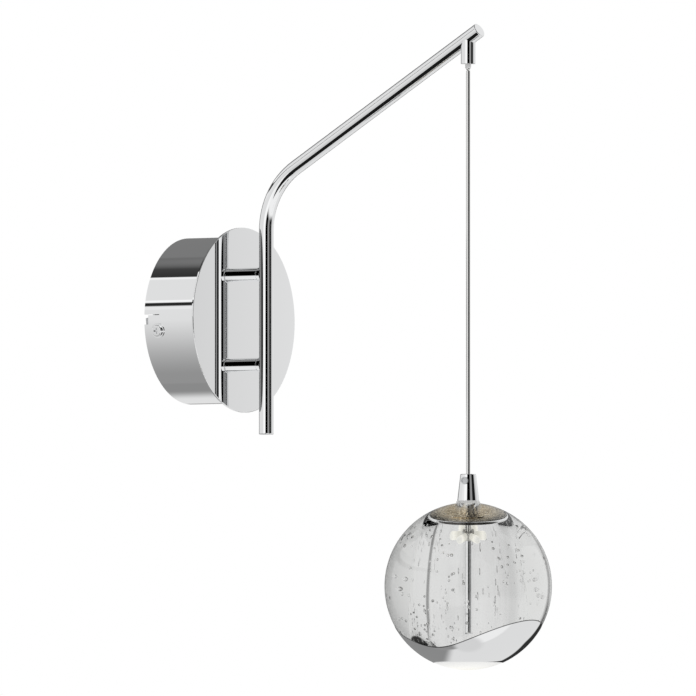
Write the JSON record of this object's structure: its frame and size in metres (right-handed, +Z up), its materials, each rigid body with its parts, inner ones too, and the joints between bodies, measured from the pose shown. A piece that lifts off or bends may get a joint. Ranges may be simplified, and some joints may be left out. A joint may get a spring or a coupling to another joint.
{
  "type": "hanging pendant wall sconce",
  "caption": "Wall light: round canopy, upright rod bent into a sloping arm, and a thick glass ball lamp with a mirrored base that hangs from the arm's tip on a cable.",
  "frame": {"origin": "middle of the canopy, on the wall", "axes": "+Y into the wall, +Z up, +X to the right of someone who faces the wall"},
  "size_m": [0.12, 0.269, 0.4167],
  "materials": {
    "chrome": "polished chrome plate",
    "grip_screw_steel": "bright steel",
    "galvanised_steel": "zinc-plated, matt",
    "terminal_brass": "plain brass",
    "driver_plastic": "moulded, matt",
    "block_plastic": "moulded, translucent white",
    "grommet_rubber": "matt",
    "live_jacket": "brown wire jacket",
    "neutral_jacket": "blue wire jacket",
    "earth_jacket": "green and yellow wire jacket",
    "white_plastic": "moulded, satin",
    "clear_jacket_cable": "clear jacket over a silvery braid",
    "gasket_rubber": "clear silicone, matt",
    "gilt_metal": "gold-coloured, satin",
    "board_white": "white, matt",
    "led_white": "lit, warm white",
    "wire_jacket": "thin wire jacket",
    "clear_glass": "polished, with small bubbles inside",
    "lit_lens": "frosted inside, lit",
    "mirror_skin": "mirrored, edge fades in a wave"
  },
  "bodies": {
    "wall_fixture": {"wall_bracket": "galvanised_steel", "canopy_side_screws": "chrome", "canopy_side_washers": "chrome", "canopy_can": "chrome", "canopy_face": "chrome", "led_driver": "driver_plastic", "driver_screws": "galvanised_steel", "terminal_block": "block_plastic", "terminal_screws": "terminal_brass", "terminal_block_screws": "galvanised_steel", "earth_screw": "terminal_brass", "earth_tag": "terminal_brass", "inlet_grommet": "grommet_rubber", "live_lead": "live_jacket", "neutral_lead": "neutral_jacket", "earth_lead": "earth_jacket", "arm_lead": "clear_jacket_cable", "standoff_upper": "chrome", "standoff_lower": "chrome", "standoff_washers": "galvanised_steel", "standoff_nuts": "galvanised_steel", "arm_tube": "chrome", "arm_foot_cap": "chrome", "arm_tip_cap": "chrome", "cable_outlet_tube": "chrome", "outlet_bush": "white_plastic"},
    "cable_bend": {"swivel_bead": "clear_jacket_cable"},
    "cable": {"pendant_cable": "clear_jacket_cable"},
    "pendant": {"cone_grip": "chrome", "grip_screw": "grip_screw_steel", "top_seal": "gasket_rubber", "threaded_nipple": "galvanised_steel", "glass_bush": "white_plastic", "neck_sleeve": "chrome", "ceiling_gasket": "gasket_rubber", "heat_spreader": "gilt_metal", "led_hub": "board_white", "led_chips": "led_white", "led_lenses": "led_white", "nipple_nut": "galvanised_steel", "tube_plug": "white_plastic", "centre_tube": "chrome", "centre_tube_tip": "chrome", "pendant_wires": "wire_jacket", "glass_ball": "clear_glass", "mirror_coating": "mirror_skin", "bottom_lens": "lit_lens"}
  },
  "joints": [
    {"name": "swing_in_out", "type": "hinge", "parent": "wall_fixture", "child": "cable_bend", "pos_m": [0, -0.215, 0.1588], "axis": [1, 0, 0], "range_deg": [-35, 25]},
    {"name": "swing_sideways", "type": "hinge", "parent": "cable_bend", "child": "cable", "pos_m": [0, -0.215, 0.1588], "axis": [0, 1, 0], "range_deg": [-35, 35]},
    {"name": "pendant_twist", "type": "hinge", "parent": "cable", "child": "pendant", "pos_m": [0, -0.215, -0.1072], "axis": [0, 0, 1], "range_deg": [-180, 180]}
  ]
}
